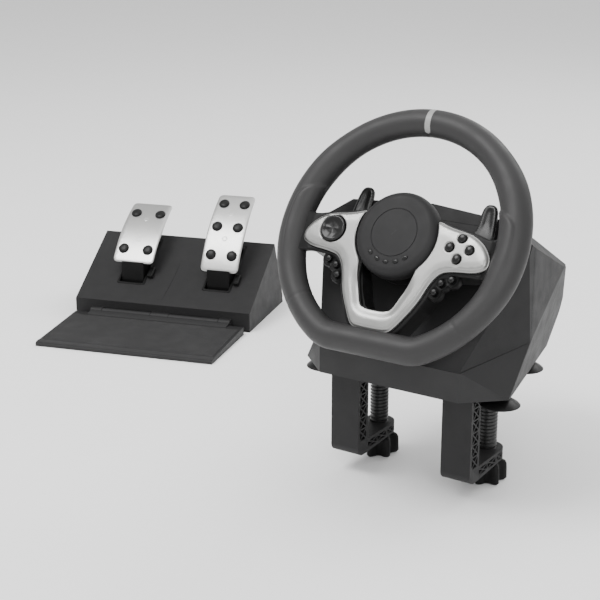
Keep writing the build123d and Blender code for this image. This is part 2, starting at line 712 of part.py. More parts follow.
def slot_box(x):
    half = ARM_WIDTH / 2 + SLOT_GAP
    return block(x - half, x + half, PEDAL_PIVOT_Y - 16, SLOT_REAR, BOX_NOSE, BOX_TOP_Z + 30)


def make_pedal_cover():
    cover = pedal_box(0) - pedal_box(SHELL_WALL)
    for x, *_ in PEDALS.values():
        cover -= slot_box(x)
    for x0, x1 in hinge_segments()[::2]:
        x0, x1 = x0 + BUTTON_GAP, x1 - BUTTON_GAP
        cover += bar_x(x0, x1, HINGE_Y, HINGE_Z, HINGE_BARREL)
        cover += block(x0, x1, HINGE_Y, BOX_FRONT + 1, HINGE_Z - HINGE_BARREL, HINGE_Z + HINGE_BARREL)
    cover -= bar_x(-HINGE_HALF, HINGE_HALF, HINGE_Y, HINGE_Z, HINGE_PIN)
    return cover - Pos(0, BOX_REAR, 7.5) * Rot(90, 0, 0) * Cylinder(3, 20)


def make_pedal_base():
    base = block(-BOX_WIDTH / 2, BOX_WIDTH / 2, BOX_FRONT, BOX_REAR, 0, BOX_FLOOR)
    for x, *_ in PEDALS.values():
        for side in (-1, 1):
            ear = x + side * (ARM_WIDTH / 2 + 9)
            base += block(ear - 3, ear + 3, PEDAL_PIVOT_Y - 10, PEDAL_PIVOT_Y + 10,
                          BOX_FLOOR, PEDAL_PIVOT_Z + 8)
            base -= bar_x(ear - 4, ear + 4, PEDAL_PIVOT_Y, PEDAL_PIVOT_Z, PEDAL_PIN)
    return base


def make_pedal_pins():
    reach = ARM_WIDTH / 2 + 12
    pins = [bar_x(x - reach, x + reach, PEDAL_PIVOT_Y, PEDAL_PIVOT_Z, PEDAL_PIN)
            for x, *_ in PEDALS.values()]
    return pins[0] + pins[1]


def make_pedal_springs():
    """The wound part of each return spring, a sleeve round the pivot pin beside the arm."""
    coils = None
    for x, *_ in PEDALS.values():
        start = x + ARM_WIDTH / 2 + SPRING_GAP
        end = start + SPRING_WIDTH
        coil = bar_x(start, end, PEDAL_PIVOT_Y, PEDAL_PIVOT_Z, PEDAL_PIN + 3)
        coil -= bar_x(start - 1, end + 1, PEDAL_PIVOT_Y, PEDAL_PIVOT_Z, PEDAL_PIN + 0.4)
        coils = coil if coils is None else coils + coil
    return coils


def pad_place(name):
    """The pad's own frame: x across, y from heel to toe, z towards the driver's foot."""
    x, foot, head, _, _ = PEDALS[name]
    along = Vector(0, head[0] - foot[0], head[1] - foot[1]).normalized()
    centre = (x, (foot[0] + head[0]) / 2, (foot[1] + head[1]) / 2)
    normal = Vector(1, 0, 0).cross(along)
    return Plane(origin=centre, x_dir=(1, 0, 0), z_dir=normal).location


def pad_length(name):
    return math.dist(PEDALS[name][1], PEDALS[name][2])


def curved_skin(length, width, front, back):
    """A layer of the pad between two distances behind its crowned front face."""
    centre = Pos(0, 0, -PAD_CURVE)
    roll = centre * Rot(0, 90, 0) * Cylinder(PAD_CURVE - front, width + 2)
    core = centre * Rot(0, 90, 0) * Cylinder(PAD_CURVE - back, width + 4)
    outline = slab(RectangleRounded(width, length, PAD_CORNER), -40, 90)
    return (roll - core) & outline


def make_pad(name):
    skin = curved_skin(pad_length(name), PEDALS[name][3], 0, PAD_PLATE)
    return skin.moved(pad_place(name))


def make_studs(name):
    length, width = pad_length(name), PEDALS[name][3]
    studs = None
    for row in PEDALS[name][4]:
        for side in (-1, 1):
            y = row * length
            x = side * (width / 2 - 12.5)
            rise = -y ** 2 / (2 * PAD_CURVE)
            stud = disc(x, y, rise - PAD_PLATE / 2, rise + STUD_HEIGHT, STUD_RADIUS)
            studs = stud if studs is None else studs + stud
    studs -= curved_skin(length, width, 0, PAD_PLATE)
    return studs.moved(pad_place(name))


def make_pedal_arm(name):
    x, foot, head, _, _ = PEDALS[name]
    half = ARM_WIDTH / 2
    back = PAD_PLATE + 2.5
    length = pad_length(name)
    along = ((head[0] - foot[0]) / length, (head[1] - foot[1]) / length)
    behind = (along[1], -along[0])

    def under(share, depth):
        return (foot[0] + along[0] * length * share + behind[0] * depth,
                foot[1] + along[1] * length * share + behind[1] * depth)

    side = [(PEDAL_PIVOT_Y - PEDAL_BARREL, PEDAL_PIVOT_Z), (foot[0] + 4, foot[1] - 6),
            under(0.05, -2), under(0.55, -2), under(0.55, back + 4), under(0.36, back + 10),
            (PEDAL_PIVOT_Y + PEDAL_BARREL, PEDAL_PIVOT_Z)]
    arm = prism_yz(side, x - half, x + half)
    arm += bar_x(x - half, x + half, PEDAL_PIVOT_Y, PEDAL_PIVOT_Z, PEDAL_BARREL)
    arm -= bar_x(x - half - 1, x + half + 1, PEDAL_PIVOT_Y, PEDAL_PIVOT_Z, PEDAL_PIN + RUNNING_GAP)
    filled = curved_skin(length, PEDALS[name][3], -80, PAD_PLATE)
    arm -= filled.moved(pad_place(name))
    return max(arm.solids(), key=lambda s: s.volume)


# ---- all pieces in the working frame ----
def build():
    wheel = {
        "rim": make_rim(),
        "rim_marker": make_marker(),
        "rim_frame": make_rim_frame(),
        "wheel_front_cover": make_front_cover(),
        "wheel_rear_cover": make_rear_cover(),
        "spoke_trim": make_trim(),
        "hub_cap": make_hub_cap(),
        "button_pods": make_pods(),
        "button_board": make_board(),
        "rumble_motors": make_motors(),
        "steering_shaft": make_shaft(),
        "dpad": make_dpad(),
        "dpad_pivot": make_dpad_pivot(),
        "paddle_right": make_paddle(),
        "paddle_left": flip(make_paddle()),
    }
    wheel.update(make_buttons())
    base_on_axis = {
        "shaft_bearings": make_bearings(),
        "spring_drum": make_spring_drum(),
        "steering_sensor": make_sensor(),
    }
    pieces = {name: shape.moved(WHEEL) for name, shape in {**wheel, **base_on_axis}.items()}
    arm = make_clamp_arm()
    pieces.update({
        "front_shell": make_front_shell(),
        "rear_shell": make_rear_shell(),
        "base_tray": make_base_tray(),
        "bearing_frame": make_bearing_frame(),
        "main_board": make_main_board(),
        "socket_panel": make_socket_panel(),
        "suction_cups": make_suction_cups(),
        "shell_screws": make_shell_screws(),
        "clamp_arms": Pos(-CLAMP_X, 0, 0) * arm + Pos(CLAMP_X, 0, 0) * arm,
    })
    for side, place in (("left", Pos(-CLAMP_X, 0, 0)), ("right", Pos(CLAMP_X, 0, 0))):
        pieces[f"clamp_screw_{side}"] = place * make_clamp_screw()
        pieces[f"clamp_knob_{side}"] = place * make_clamp_knob()
        pieces[f"clamp_pad_{side}"] = place * make_clamp_pad()
    pedals = {
        "pedal_cover": make_pedal_cover(),
        "pedal_base": make_pedal_base(),
        "heel_plate": make_heel_plate(),
        "heel_hinge_pin": make_hinge_pin(),
        "pedal_pins": make_pedal_pins(),
        "pedal_springs": make_pedal_springs(),
    }
    for name in PEDALS:
        pedals[f"{name}_arm"] = make_pedal_arm(name)
        pedals[f"{name}_pad"] = make_pad(name)
        pedals[f"{name}_studs"] = make_studs(name)
    pieces.update({name: shape.moved(PEDAL) for name, shape in pedals.items()})
    return pieces


def frame_origin(pieces):
    """The middle of the whole set's footprint, at its lowest point."""
    boxes = [shape.bounding_box() for shape in pieces.values()]
    low_x, high_x = min(b.min.X for b in boxes), max(b.max.X for b in boxes)
    low_y, high_y = min(b.min.Y for b in boxes), max(b.max.Y for b in boxes)
    return Vector((low_x + high_x) / 2, (low_y + high_y) / 2, min(b.min.Z for b in boxes))


PIECES = build()
FRAME_ORIGIN = frame_origin(PIECES)
os.makedirs("parts", exist_ok=True)
for node, shape in PIECES.items():
    export_step(Pos(*(-FRAME_ORIGIN)) * shape, f"parts/{node}.step")
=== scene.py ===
import json
import math
import bmesh
import bpy
import numpy as np
from mathutils import Matrix, Vector
from mathutils.geometry import delaunay_2d_cdt

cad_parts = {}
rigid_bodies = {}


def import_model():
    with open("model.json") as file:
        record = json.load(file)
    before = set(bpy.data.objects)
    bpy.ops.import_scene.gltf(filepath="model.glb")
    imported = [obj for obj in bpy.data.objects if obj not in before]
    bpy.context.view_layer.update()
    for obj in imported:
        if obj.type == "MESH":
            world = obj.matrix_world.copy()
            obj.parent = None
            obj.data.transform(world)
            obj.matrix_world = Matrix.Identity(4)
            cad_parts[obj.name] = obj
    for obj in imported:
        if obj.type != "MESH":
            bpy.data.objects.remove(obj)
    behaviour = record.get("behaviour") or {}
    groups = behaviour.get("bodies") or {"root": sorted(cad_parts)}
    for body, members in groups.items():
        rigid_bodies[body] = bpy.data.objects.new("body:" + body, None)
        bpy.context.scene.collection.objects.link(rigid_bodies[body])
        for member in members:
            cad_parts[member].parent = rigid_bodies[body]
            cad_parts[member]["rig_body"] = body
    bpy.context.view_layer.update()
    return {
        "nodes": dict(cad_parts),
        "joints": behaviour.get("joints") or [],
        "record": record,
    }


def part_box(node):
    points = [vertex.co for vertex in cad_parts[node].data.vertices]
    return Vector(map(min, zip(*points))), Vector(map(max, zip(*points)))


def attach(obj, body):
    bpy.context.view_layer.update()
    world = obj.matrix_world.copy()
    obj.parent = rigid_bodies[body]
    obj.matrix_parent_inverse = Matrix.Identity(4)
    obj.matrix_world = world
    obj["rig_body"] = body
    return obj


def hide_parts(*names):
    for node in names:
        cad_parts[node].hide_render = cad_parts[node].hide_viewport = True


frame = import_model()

MM = 0.001

# ---- places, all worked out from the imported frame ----
JOINTS = {joint["name"]: joint for joint in frame["joints"]}
SLOTS = {part["node"]: part["material_slot"] for part in frame["record"]["subparts"]}


def local_frame(origin, x_axis, z_axis):
    """Turns millimetres in a piece's own axes into metres in the row frame."""
    x_axis, z_axis = Vector(x_axis).normalized(), Vector(z_axis).normalized()
    y_axis = z_axis.cross(x_axis)
    turn = Matrix((x_axis, y_axis, z_axis)).transposed().to_4x4()
    return Matrix.Translation(origin) @ turn @ Matrix.Scale(MM, 4)


STEERING = JOINTS["steering"]
WHEEL = local_frame(STEERING["pos_m"], (1, 0, 0), STEERING["axis"])
ARMS_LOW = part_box("clamp_arms")[0]
RIM_MIDDLE_X = (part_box("rim")[0].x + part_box("rim")[1].x) / 2
BASE = local_frame((RIM_MIDDLE_X, ARMS_LOW.y, ARMS_LOW.z), (1, 0, 0), (0, 0, 1))
HINGE_Y, HINGE_Z = 136.0, 12.5
PEDAL_X_AXIS = -Vector(JOINTS["heel_plate_fold"]["axis"])
PEDAL_Y_AXIS = Vector((0, 0, 1)).cross(PEDAL_X_AXIS)
PEDAL_ORIGIN = (Vector(JOINTS["heel_plate_fold"]["pos_m"])
                - PEDAL_Y_AXIS * HINGE_Y * MM - Vector((0, 0, HINGE_Z * MM)))
PEDAL = local_frame(PEDAL_ORIGIN, PEDAL_X_AXIS, (0, 0, 1))

# ---- sizes of the pieces, millimetres, as in the CAD model ----
RIM_RADIUS, RIM_TUBE, RIM_FLAT, RIM_CORNER = 125.0, 14.5, 114.0, 35.0
PLATE_FRONT, TRIM_FRONT = 4.0, 10.0
HUB_RADIUS, HUB_FACE_RADIUS, HUB_FRONT = 46.0, 36.5, 14.0
CONTROL_X, CONTROL_Y, ACTION_SPREAD = 73.5, -4.8, 11.0
DPAD_RADIUS, ACTION_RADIUS = 14.0, 4.4
PODS = ((71.5, -35.7), (61.3, -40.9), (56.5, -51.2))
POD_RADIUS, POD_BUTTON_RADIUS = 8.2, 3.6
HUB_BUTTON_ARC, HUB_BUTTON_STEP = 31.4, 20.0
CLAMP_X, SCREW_Y, SCREW_RADIUS, THREAD_PITCH = 68.0, 74.5, 10.5, 4.0
KNOB_LOW, KNOB_HIGH = -23.0, 1.2
PAD_CURVE = 220.0
PEDALS = {
    "brake": (-60.5, (178.0, 82.0), (265.0, 150.0), 63.0, (-0.31, 0.29), (0.19, -0.16)),
    "accelerator": (73.0, (178.0, 79.0), (267.0, 172.0), 57.0, (-0.31, 0.04, 0.36), (0.22, -0.11)),
}


# ---- camera, light and floor ----
def add_camera():
    azimuth, elevation = math.radians(33.55), math.radians(17.44)
    forward = Vector((-math.sin(azimuth) * math.cos(elevation),
                      math.cos(azimuth) * math.cos(elevation), -math.sin(elevation)))
    data = bpy.data.cameras.new("camera")
    data.lens = 86.885
    data.sensor_width = 36.0
    camera = bpy.data.objects.new("camera", data)
    camera.location = BASE @ Vector((702.578, -1250.445, 639.058))
    camera.rotation_euler = forward.to_track_quat("-Z", "Y").to_euler()
    bpy.context.scene.collection.objects.link(camera)
    bpy.context.scene.camera = camera


def add_softbox(name, place, target, size, power):
    data = bpy.data.lights.new(name, "AREA")
    data.shape = "RECTANGLE"
    data.size, data.size_y = size
    data.energy = power
    light = bpy.data.objects.new(name, data)
    light.location = place
    light.rotation_euler = (Vector(target) - Vector(place)).to_track_quat("-Z", "Y").to_euler()
    bpy.context.scene.collection.objects.link(light)


def add_light():
    world = bpy.data.worlds.new("studio")
    world.use_nodes = True
    tree = world.node_tree
    background = tree.nodes["Background"]
    background.inputs["Strength"].default_value = 1.0
    place = node(tree, "ShaderNodeTexCoord")
    parts = node(tree, "ShaderNodeSeparateXYZ")
    tree.links.new(place.outputs["Generated"], parts.inputs["Vector"])
    height = spread(tree, parts.outputs["Z"], 1.2, 0.75, 0.15, 0.9)
    tree.links.new(height, background.inputs["Color"])
    bpy.context.scene.world = world
    centre = (0.0, 0.0, 0.2)
    add_softbox("front", (-0.7, -1.35, 2.5), centre, (1.5, 1.1), 62)
    add_softbox("key", (1.5, -1.9, 1.5), centre, (1.2, 1.2), 20)
    add_softbox("top", (0.0, 0.3, 3.2), centre, (3.0, 3.0), 34)
    add_softbox("rear", (0.6, 1.9, 1.8), centre, (2.0, 1.0), 24)


def add_floor(material):
    half = 6.0
    corners = [(-half, -half, 0), (half, -half, 0), (half, half, 0), (-half, half, 0)]
    mesh = bpy.data.meshes.new("floor")
    mesh.from_pydata(corners, [], [(0, 1, 2, 3)])
    floor = bpy.data.objects.new("floor", mesh)
    bpy.context.scene.collection.objects.link(floor)
    mesh.materials.append(material)


# ---- materials ----
def node(tree, kind, **values):
    made = tree.nodes.new(kind)
    for key, value in values.items():
        if key in made.inputs:
            made.inputs[key].default_value = value
        else:
            setattr(made, key, value)
    return made


def noise_on(tree, scale, stretch=(1, 1, 1), turn=(0, 0, 0), detail=2.0):
    place = node(tree, "ShaderNodeTexCoord")
    mapping = node(tree, "ShaderNodeMapping", Scale=stretch, Rotation=turn)
    tree.links.new(place.outputs["Object"], mapping.inputs["Vector"])
    noise = node(tree, "ShaderNodeTexNoise", Scale=scale, Detail=detail)
    tree.links.new(mapping.outputs["Vector"], noise.inputs["Vector"])
    return noise.outputs["Fac"]


def spread(tree, value, low, high, start=0.3, end=0.7):
    """Maps a noise value onto a range."""
    ranged = node(tree, "ShaderNodeMapRange")
    ranged.inputs["From Min"].default_value = start
    ranged.inputs["From Max"].default_value = end
    ranged.inputs["To Min"].default_value = low
    ranged.inputs["To Max"].default_value = high
    tree.links.new(value, ranged.inputs["Value"])
    return ranged.outputs["Result"]


def finish_surface(name, colour, rough, metal=0.0, grain=(2400, 0.25), mottle=0.12, wear=0.25,
                   stretch=(1, 1, 1), turn=(0, 0, 0), coat=0.0, specular=0.5):
    """A moulded, painted or brushed surface: grain, colour drift, uneven gloss and paler edges."""
    material = bpy.data.materials.new(name)
    material.use_nodes = True
    tree = material.node_tree
    shader = tree.nodes["Principled BSDF"]
    shader.inputs["Metallic"].default_value = metal
    shader.inputs["Coat Weight"].default_value = coat
    shader.inputs["Coat Roughness"].default_value = 0.15
    shader.inputs["Specular IOR Level"].default_value = specular
    drift = noise_on(tree, 9, detail=3)
    speck = noise_on(tree, grain[0] * 0.4, stretch, turn, 3)
    dark = tuple(c * (1 - mottle) for c in colour) + (1,)
    pale = tuple(min(1, c * (1 + mottle)) for c in colour) + (1,)
    tone = node(tree, "ShaderNodeMix", data_type="RGBA")
    tone.inputs[6].default_value = dark
    tone.inputs[7].default_value = pale
    both = node(tree, "ShaderNodeMath", operation="ADD")
    tree.links.new(spread(tree, drift, 0, 0.5), both.inputs[0])
    tree.links.new(spread(tree, speck, 0, 0.5), both.inputs[1])
    tree.links.new(both.outputs[0], tone.inputs[0])
    geometry = node(tree, "ShaderNodeNewGeometry")
    edge = spread(tree, geometry.outputs["Pointiness"], 0, wear, 0.52, 0.62)
    rubbed = node(tree, "ShaderNodeMix", data_type="RGBA")
    rubbed.inputs[7].default_value = tuple(min(1, c * 1.5 + 0.03) for c in colour) + (1,)
    tree.links.new(edge, rubbed.inputs[0])
    tree.links.new(tone.outputs[2], rubbed.inputs[6])
    tree.links.new(rubbed.outputs[2], shader.inputs["Base Color"])
    gloss = noise_on(tree, 60, stretch, turn, 3)
    tree.links.new(spread(tree, gloss, rough - 0.05, rough + 0.05), shader.inputs["Roughness"])
    bump = node(tree, "ShaderNodeBump", Strength=grain[1], Distance=0.0002)
    tree.links.new(noise_on(tree, grain[0], stretch, turn, 3), bump.inputs["Height"])
    tree.links.new(bump.outputs["Normal"], shader.inputs["Normal"])
    return material


def circuit_board():
    material = finish_surface("circuit_board", (0.012, 0.09, 0.035), 0.45, grain=(900, 0.2))
    tree = material.node_tree
    place = node(tree, "ShaderNodeTexCoord")
    tracks = node(tree, "ShaderNodeTexBrick", Scale=220.0)
    tracks.inputs["Color1"].default_value = (0.012, 0.09, 0.035, 1)
    tracks.inputs["Color2"].default_value = (0.02, 0.14, 0.06, 1)
    tracks.inputs["Mortar"].default_value = (0.25, 0.2, 0.06, 1)
    tree.links.new(place.outputs["Object"], tracks.inputs["Vector"])
    tree.links.new(tracks.outputs["Color"], tree.nodes["Principled BSDF"].inputs["Base Color"])
    return material


BRUSHED = (6, 260, 260)  # stretches the grain of the pedals' metal across them
YAW = math.atan2(PEDAL_X_AXIS.y, PEDAL_X_AXIS.x)
MATERIALS = {
    "grip_rubber": finish_surface("grip_rubber", (0.024, 0.0235, 0.0238), 0.48, grain=(2600, 0.35),
                                  specular=0.3),
    "marker_grey": finish_surface("marker_grey", (0.25, 0.25, 0.245), 0.4, grain=(1800, 0.1)),
    "black_plastic": finish_surface("black_plastic", (0.004, 0.004, 0.004), 0.42, specular=0.2),
    "silver_trim": finish_surface("silver_trim", (0.31, 0.31, 0.303), 0.36, metal=0.85,
                                  grain=(3200, 0.12), mottle=0.05, coat=0.2),
    "charcoal_plastic": finish_surface("charcoal_plastic", (0.013, 0.0128, 0.0132), 0.56, specular=0.22,
                                       grain=(2200, 0.4)),
    "dark_plastic": finish_surface("dark_plastic", (0.004, 0.004, 0.004), 0.45, specular=0.14),
    "button_plastic": finish_surface("button_plastic", (0.004, 0.004, 0.004), 0.28,
                                     grain=(1500, 0.05), specular=0.3),
    "circuit_board": circuit_board(),
    "steel": finish_surface("steel", (0.5, 0.5, 0.5), 0.35, metal=1.0, stretch=(1, 1, 30),
                            grain=(900, 0.15)),
    "screw_steel": finish_surface("screw_steel", (0.02, 0.02, 0.02), 0.38, metal=0.4,
                                  grain=(1800, 0.2)),
    "soft_rubber": finish_surface("soft_rubber", (0.005, 0.005, 0.005), 0.36, grain=(1500, 0.2),
                                  specular=0.2),
    "pedal_metal": finish_surface("pedal_metal", (0.47, 0.47, 0.462), 0.3, metal=0.9,
                                  grain=(12, 0.25), mottle=0.06, stretch=BRUSHED, turn=(0, 0, -YAW)),
}
FLOOR_PAINT = finish_surface("floor_paint", (0.96, 0.96, 0.96), 0.8, grain=(300, 0.02), mottle=0.01,
                             wear=0.0)


def dress_cad_nodes():
    for name, piece in frame["nodes"].items():
        material = MATERIALS[SLOTS[name]]
        if not piece.material_slots:
            piece.data.materials.append(material)
        for place in piece.material_slots:
            place.material = material


# ---- mesh tools ----
def smooth_by_angle(mesh_data, angle):
    for face in mesh_data.faces:
        face.smooth = True
    for edge in mesh_data.edges:
        edge.smooth = len(edge.link_faces) == 2 and edge.calc_face_angle(0) < math.radians(angle)


def make_piece(name, shape, place, *nodes, slot=None, angle=32):
    """Turns a bmesh in millimetres into a piece with the material of the CAD nodes that it stands for.
    """
    shape.transform(place)
    bmesh.ops.recalc_face_normals(shape, faces=shape.faces)
    smooth_by_angle(shape, angle)
    mesh = bpy.data.meshes.new(name)
    shape.to_mesh(mesh)
    shape.free()
    piece = bpy.data.objects.new(name, mesh)
    bpy.context.scene.collection.objects.link(piece)
    slot = slot or SLOTS[nodes[0]]
    mesh.materials.append(MATERIALS[slot])
    return piece


def stand_for(piece, *nodes):
    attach(piece, frame["nodes"][nodes[0]]["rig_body"])
    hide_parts(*nodes)
    return piece


def join(*shapes):
    """One bmesh out of several."""
    whole = shapes[0]
    for shape in shapes[1:]:
        mesh = bpy.data.meshes.new("part")
        shape.to_mesh(mesh)
        whole.from_mesh(mesh)
        bpy.data.meshes.remove(mesh)
        shape.free()
    return whole


def moved(shape, x=0.0, y=0.0, z=0.0, turn=None):
    if turn:
        shape.transform(Matrix.Rotation(*turn))
    shape.transform(Matrix.Translation((x, y, z)))
    return shape


def grid_shape(rows, close_rows=False):
    """Skins a list of point rings, and either closes the list on itself or caps its two ends."""
    shape = bmesh.new()
    made = [[shape.verts.new(p) for p in row] for row in rows]
    count = len(rows[0])
    last = len(rows) if close_rows else len(rows) - 1
    for i in range(last):
        a, b = made[i], made[(i + 1) % len(rows)]
        for j in range(count):
            k = (j + 1) % count
            shape.faces.new((a[j], a[k], b[k], b[j]))
    if not close_rows:
        shape.faces.new(made[0])
        shape.faces.new(list(reversed(made[-1])))
    return shape


def lathe(profile, sides=48):
    """Turns (radius, height) points round the z axis."""
    rows = []
    for radius, height in profile:
        radius = max(radius, 0.02)
        rows.append([(radius * math.cos(2 * math.pi * j / sides),
                      radius * math.sin(2 * math.pi * j / sides), height) for j in range(sides)])
    return grid_shape(rows)


def soften(points, share=0.5, step=1.5):
    """A closed smooth loop through the middles of a polygon's sides."""
    loop = []
    count = len(points)
    for i, corner in enumerate(points):
        corner = Vector(corner)
        before, after = Vector(points[i - 1]), Vector(points[(i + 1) % count])
        start = corner.lerp(before, share)
        end = corner.lerp(after, share)
        pieces = max(2, int(((start - corner).length + (end - corner).length) / step))
        for k in range(pieces):
            t = k / pieces
            loop.append((start * (1 - t) + corner * t).lerp(corner * (1 - t) + end * t, t))
        if share < 0.5:
            run = Vector(after).lerp(corner, share) - end
            for k in range(max(1, int(run.length / step))):
                loop.append(end + run * (k / max(1, int(run.length / step))))
    return [(p.x, p.y) for p in loop]


def circle(x, y, radius, sides=28):
    return [(x + radius * math.cos(2 * math.pi * i / sides),
             y + radius * math.sin(2 * math.pi * i / sides)) for i in range(sides)]


def distance_to(points, loop):
    """Each point's distance to a loop."""
    a = np.array(loop)
    b = np.roll(a, -1, axis=0)
    run = b - a
    length = np.maximum((run ** 2).sum(1), 1e-12)
    best = np.full(len(points), 1e9)
    for start in range(0, len(points), 2000):
        p = points[start:start + 2000]
        t = ((p[:, None, :] - a) * run).sum(2) / length
        near = a + np.clip(t, 0, 1)[:, :, None] * run
        best[start:start + 2000] = np.sqrt(((p[:, None, :] - near) ** 2).sum(2)).min(1)
    return best


def inside(points, loop):
    """Tells which points lie inside a loop."""
    x, y = points[:, 0], points[:, 1]
    hit = np.zeros(len(points), bool)
    for (x1, y1), (x2, y2) in zip(loop, loop[1:] + loop[:1]):
        if y1 == y2:
            continue
        crosses = (y1 > y) != (y2 > y)
        hit ^= crosses & (x < (x2 - x1) * (y - y1) / (y2 - y1) + x1)
    return hit


def inset_points(loop, depth):
    """Points along a loop, a given depth to both sides of it."""
    a = np.array(loop)
    run = np.roll(a, -1, axis=0) - np.roll(a, 1, axis=0)
    run /= np.maximum(np.linalg.norm(run, axis=1), 1e-9)[:, None]
    normal = np.stack([-run[:, 1], run[:, 0]], 1)
    return [a + normal * depth, a - normal * depth]


def relief(outline, holes, low, height, step=3.0, rings=(0.7, 1.5, 2.6)):
    """A plate over an outline: flat below, and above it height(points, edge, hole) high."""
    loops = [outline] + list(holes)
    spots = []
    for loop in loops:
        for depth in rings:
            spots += inset_points(loop, depth)
    low_corner, high_corner = np.min(outline, axis=0), np.max(outline, axis=0)
    xs = np.arange(low_corner[0], high_corner[0], step)
    ys = np.arange(low_corner[1], high_corner[1], step * 0.87)
    grid = np.array([(x + step / 2 * (j % 2), y) for j, y in enumerate(ys) for x in xs])
    spots = np.concatenate(spots) if spots else np.zeros((0, 2))

    def free(points, gap):
        kept = inside(points, outline)
        for hole in holes:
            kept &= ~inside(points, hole)
        for loop in loops:
            kept &= distance_to(points, loop) > gap
        return points[kept]

    ring_gap = (rings[0] if rings else step) * 0.9
    spots = free(spots, ring_gap)
    grid = free(grid, (rings[-1] if rings else 0) + step * 0.45)
    points, edges = [], []
    for loop in loops:
        first = len(points)
        points += [Vector(p) for p in loop]
        edges += [(first + i, first + (i + 1) % len(loop)) for i in range(len(loop))]
    points += [Vector(p) for p in np.concatenate([spots, grid])]
    verts, _, faces = delaunay_2d_cdt(points, edges, [], 0, 1e-5)[:3]
    flat = np.array([(v.x, v.y) for v in verts])
    middles = np.array([flat[list(face)].mean(0) for face in faces])
    kept = inside(middles, outline)
    for hole in holes:
        kept &= ~inside(middles, hole)
    edge = distance_to(flat, outline)
    hole_gap = np.min([distance_to(flat, hole) for hole in holes], axis=0) if holes else edge + 99
    tops = height(flat, edge, hole_gap)
    shape = bmesh.new()
    upper = [shape.verts.new((x, y, z)) for (x, y), z in zip(flat, tops)]
    lower = [shape.verts.new((x, y, low)) for x, y in flat]
    used = {}
    for face, good in zip(faces, kept):
        if not good:
            continue
        shape.faces.new([upper[i] for i in face])
        shape.faces.new([lower[i] for i in reversed(face)])
        for a, b in zip(face, face[1:] + face[:1]):
            used[(a, b)] = True
    for a, b in used:
        if (b, a) not in used:
            shape.faces.new((upper[b], upper[a], lower[a], lower[b]))
    loose = [v for v in shape.verts if not v.link_faces]
    bmesh.ops.delete(shape, geom=loose, context="VERTS")
    return shape


def step_up(value, start, end):
    t = np.clip((np.asarray(value, float) - start) / (end - start), 0, 1)
    return t * t * (3 - 2 * t)


def is_corner(edge):
    """True for the upright outer corners of a moulding."""
    run = edge.verts[1].co - edge.verts[0].co
    return (len(edge.link_faces) == 2 and edge.is_convex and abs(run.z) > 0.45 * run.length
            and run.length > 8 * MM and edge.calc_face_angle(0) > math.radians(10))


def softened(name, width, segments=2, least=8, shortest=6.0, corner=0.0):
    """A copy of a CAD node with its long sharp edges rounded, its upright corners more widely."""
    shape = bmesh.new()
    shape.from_mesh(frame["nodes"][name].data)
    bmesh.ops.remove_doubles(shape, verts=shape.verts, dist=2e-6)
    bmesh.ops.dissolve_limit(shape, angle_limit=math.radians(0.8), verts=shape.verts, edges=shape.edges)
    if corner:
        upright = [e for e in shape.edges if is_corner(e)]
        bmesh.ops.bevel(shape, geom=upright, offset=corner * MM, offset_type="OFFSET", segments=6,
                        profile=0.5, affect="EDGES", clamp_overlap=True)
        least = max(least, 24)
    sharp = [e for e in shape.edges if len(e.link_faces) == 2
             and math.degrees(e.calc_face_angle(0)) > least and e.calc_length() > shortest * MM]
    bmesh.ops.bevel(shape, geom=sharp, offset=width * MM, offset_type="OFFSET", segments=segments,
                    profile=0.5, affect="EDGES", clamp_overlap=True)
    return shape


def softened_piece(name, width, **how):
    shape = softened(name, width, **how)
    piece = make_piece(name + "_looks", shape, Matrix.Identity(4), name)
    normals = piece.modifiers.new("normals", "WEIGHTED_NORMAL")
    normals.keep_sharp = True
    return stand_for(piece, name)


# ---- steering wheel ----
def rim_path(step=1.6):
    """Points and outward directions along the flat-bottomed rim's centre line."""
    reach, drop = RIM_RADIUS - RIM_CORNER, RIM_FLAT - RIM_CORNER
    half = math.sqrt(reach ** 2 - drop ** 2)
    turn = math.atan2(-drop, half)
    path = []
    flat_steps = int(2 * half / step)
    for i in range(flat_steps):
        path.append(((-half + 2 * half * i / flat_steps, -RIM_FLAT), (0, -1)))
    corner_steps = int((turn + math.pi / 2) * RIM_CORNER / step)
    for i in range(corner_steps):
        a = -math.pi / 2 + (turn + math.pi / 2) * i / corner_steps
        path.append(((half + RIM_CORNER * math.cos(a), -drop + RIM_CORNER * math.sin(a)),
                     (math.cos(a), math.sin(a))))
    sweep = math.pi - 2 * turn
    steps = int(sweep * RIM_RADIUS / step)
    for i in range(steps):
        a = turn + sweep * i / steps
        path.append(((RIM_RADIUS * math.cos(a), RIM_RADIUS * math.sin(a)), (math.cos(a), math.sin(a))))
    for i in range(corner_steps):
        a = math.pi - turn + (turn + math.pi / 2) * i / corner_steps
        path.append(((-half + RIM_CORNER * math.cos(a), -drop + RIM_CORNER * math.sin(a)),
                     (math.cos(a), math.sin(a))))
    return path


def thumb_rest(x, y, front):
    """How far the leaf-shaped thumb rest stands out of the front inner side of the rim."""
    angle = math.degrees(math.atan2(y, abs(x)))
    radius = math.hypot(x, y)
    edge = 129.0 - 22 * float(step_up(angle, 10, 27))
    rise = float(step_up(edge - radius, 0, 3.0)) * float(step_up(angle, -24, -4))
    return 1.9 * rise * float(step_up(front, -0.1, 0.45)) * (1.0 if angle < 30 else 0.0)


def grip_swell(x, y):
    """Where the sides of the grip are fuller towards the middle of the wheel."""
    angle = math.degrees(math.atan2(y, abs(x)))
    return float(step_up(angle, -40, -10)) * (1 - float(step_up(angle, 28, 52)))


def seam_cut(x, y):
    """A fine groove where the grip's skins meet."""
    cut = 0.0
    for seam in (-42.0, 90.0):
        gap = abs(math.degrees(math.atan2(y, abs(x))) - seam) * math.radians(RIM_RADIUS)
        cut = max(cut, 0.55 * (1 - min(1.0, gap / 1.7)))
    return cut


